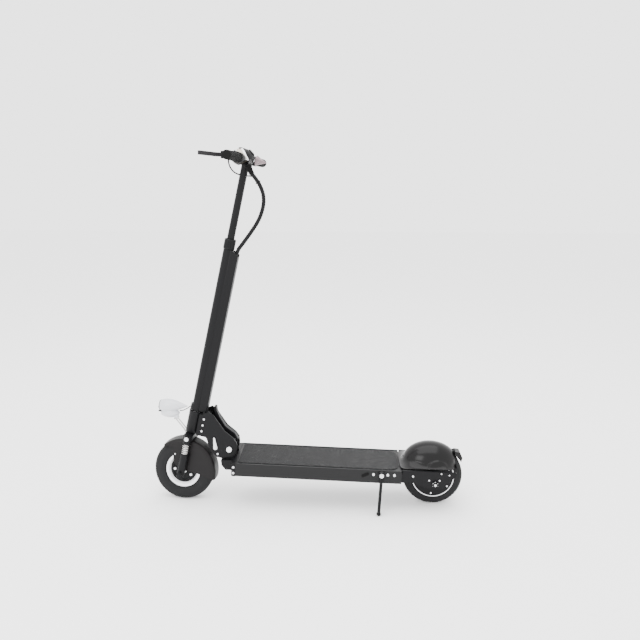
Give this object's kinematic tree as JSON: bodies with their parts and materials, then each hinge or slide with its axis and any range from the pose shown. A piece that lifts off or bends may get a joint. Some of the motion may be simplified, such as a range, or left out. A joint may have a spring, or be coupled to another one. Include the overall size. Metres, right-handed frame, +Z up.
{
  "type": "electric kick scooter",
  "caption": "Folding electric kick scooter with hub-motor rear wheel, sprung front fork, telescopic handlebar post, deck battery, fenders, headlight and kickstand.",
  "frame": {"origin": "on the ground, midway between the ends of the scooter, on its centre line", "axes": "+X to the front, +Y to the rider's left, +Z up"},
  "size_m": [1.0155, 0.4502, 1.1539],
  "materials": {
    "black_metal": "satin black powder coat",
    "black_plastic": "matte",
    "gloss_black": "glossy",
    "gloss_white": "glossy",
    "silver_paint": "satin silver",
    "steel": "zinc plated",
    "chrome": "polished",
    "rubber": "matte",
    "grip_grey": "matte",
    "mat": "fine grained",
    "tyre": "matte",
    "lens": "clear",
    "tail_lens": "glossy",
    "alloy": "satin",
    "cable": "spiral wrapped",
    "black_alloy": "satin black coating on aluminium"
  },
  "bodies": {
    "deck": {"deck_frame": "black_alloy", "deck_lid": "black_alloy", "grip_mat": "mat", "battery_pack": "black_plastic", "motor_controller": "alloy", "deck_bolts": "steel", "neck_bracket": "black_alloy", "neck_bushes": "alloy", "rear_arms": "black_metal", "rear_axle": "steel", "motor_stator": "black_metal", "rear_fender": "gloss_black", "tail_light": "tail_lens", "rear_deck_cover": "black_plastic"},
    "rear_wheel": {"rear_tyre": "tyre", "motor_shell": "black_alloy", "motor_covers": "black_alloy", "motor_bearings": "steel", "motor_screws": "steel"},
    "kickstand": {"kickstand_leg": "black_metal"},
    "charge_flap": {"charge_cap": "rubber"},
    "head": {"head_tube": "black_alloy", "headset_bearings": "steel", "fold_plates": "black_alloy", "plate_screws": "steel", "fold_pins": "steel"},
    "fold_lever": {"fold_lever": "black_alloy"},
    "latch_lever": {"latch_lever": "steel"},
    "column": {"fork_crown": "black_metal", "fork_bolts": "steel", "fork_stanchions": "chrome", "fork_springs": "chrome", "outer_stem": "black_alloy", "headlight_bracket": "chrome", "headlight_shell": "gloss_white", "headlight_lens": "lens", "headlight_wire": "cable", "cable_loop": "cable"},
    "lock_collar": {"lock_collar": "alloy"},
    "fork_lower": {"fork_lowers": "black_alloy", "front_axle": "steel", "front_fender": "black_plastic"},
    "front_wheel": {"front_tyre": "tyre", "front_rim": "alloy", "front_hub": "black_alloy", "front_hub_bolts": "steel", "front_wheel_bearings": "steel"},
    "bar": {"handlebar_post": "black_alloy", "handlebar": "black_alloy", "grip_left": "grip_grey", "grip_right": "grip_grey", "cockpit_shell": "black_plastic", "display_unit": "gloss_black", "brake_perch": "black_plastic", "throttle_housing": "silver_paint", "brake_cable": "cable"},
    "brake_lever": {"brake_lever": "black_alloy"},
    "throttle_lever": {"throttle_lever": "black_plastic"},
    "power_button": {"power_button": "rubber"},
    "mode_button": {"mode_button": "rubber"}
  },
  "joints": [
    {"name": "fold_hinge", "type": "hinge", "parent": "deck", "child": "head", "pos_m": [0.253, 0, 0.179], "axis": [0, -1, 0], "range_deg": [0, 75]},
    {"name": "steering", "type": "hinge", "parent": "head", "child": "column", "pos_m": [0.4075, 0, 0.1], "axis": [-0.2079, 0, 0.9781], "range_deg": [-34, 46]},
    {"name": "fork_slide", "type": "slide", "parent": "column", "child": "fork_lower", "axis": [-0.2079, 0, 0.9781], "range_m": [0, 0.006], "stiffness_N_per_m": 6000, "springref_m": -0.02, "deforming": ["fork_springs"]},
    {"name": "front_wheel_spin", "type": "hinge", "parent": "fork_lower", "child": "front_wheel", "pos_m": [0.4075, 0, 0.1], "axis": [0.1022, 0.9945, 0.0217], "continuous": true},
    {"name": "rear_wheel_spin", "type": "hinge", "parent": "deck", "child": "rear_wheel", "pos_m": [-0.4105, 0, 0.097], "axis": [0, 1, 0], "continuous": true},
    {"name": "fold_lever_swing", "type": "hinge", "parent": "head", "child": "fold_lever", "pos_m": [0.238, 0, 0.204], "axis": [0, -1, 0], "range_deg": [0, 25]},
    {"name": "latch_lever_swing", "type": "hinge", "parent": "head", "child": "latch_lever", "pos_m": [0.298, 0.034, 0.184], "axis": [0, 1, 0], "range_deg": [0, 60]},
    {"name": "collar_twist", "type": "hinge", "parent": "column", "child": "lock_collar", "pos_m": [0.24824, 0, 0.84926], "axis": [-0.2079, 0, 0.9781], "range_deg": [0, 90]},
    {"name": "height_slide", "type": "slide", "parent": "column", "child": "bar", "axis": [-0.2079, 0, 0.9781], "range_m": [-0.15, 0], "deforming": ["cable_loop"]},
    {"name": "brake_lever_swing", "type": "hinge", "parent": "bar", "child": "brake_lever", "pos_m": [0.25061, 0.08819, 1.12776], "axis": [-0.0011, -0.0217, 0.9998], "range_deg": [0, 19], "stiffness_Nm_per_rad": 1, "springref_deg": -20.05},
    {"name": "throttle_swing", "type": "hinge", "parent": "bar", "child": "throttle_lever", "pos_m": [0.18089, -0.10094, 1.11507], "axis": [0.1022, 0.9945, 0.0217], "range_deg": [0, 30], "stiffness_Nm_per_rad": 0.4, "springref_deg": -14.32},
    {"name": "power_button_press", "type": "slide", "parent": "bar", "child": "power_button", "axis": [-0.0011, -0.0217, 0.9998], "range_m": [-0.0015, 0], "stiffness_N_per_m": 900, "springref_m": 0.001},
    {"name": "mode_button_press", "type": "slide", "parent": "bar", "child": "mode_button", "axis": [-0.0011, -0.0217, 0.9998], "range_m": [-0.0015, 0], "stiffness_N_per_m": 900, "springref_m": 0.001},
    {"name": "kickstand_swing", "type": "hinge", "parent": "deck", "child": "kickstand", "pos_m": [-0.24055, 0.09, 0.12865], "axis": [0, 1, 0], "range_deg": [0, 88]},
    {"name": "charge_flap_swing", "type": "hinge", "parent": "deck", "child": "charge_flap", "pos_m": [-0.19723, 0.084, 0.12856], "axis": [0, 1, 0], "range_deg": [0, 90]}
  ]
}
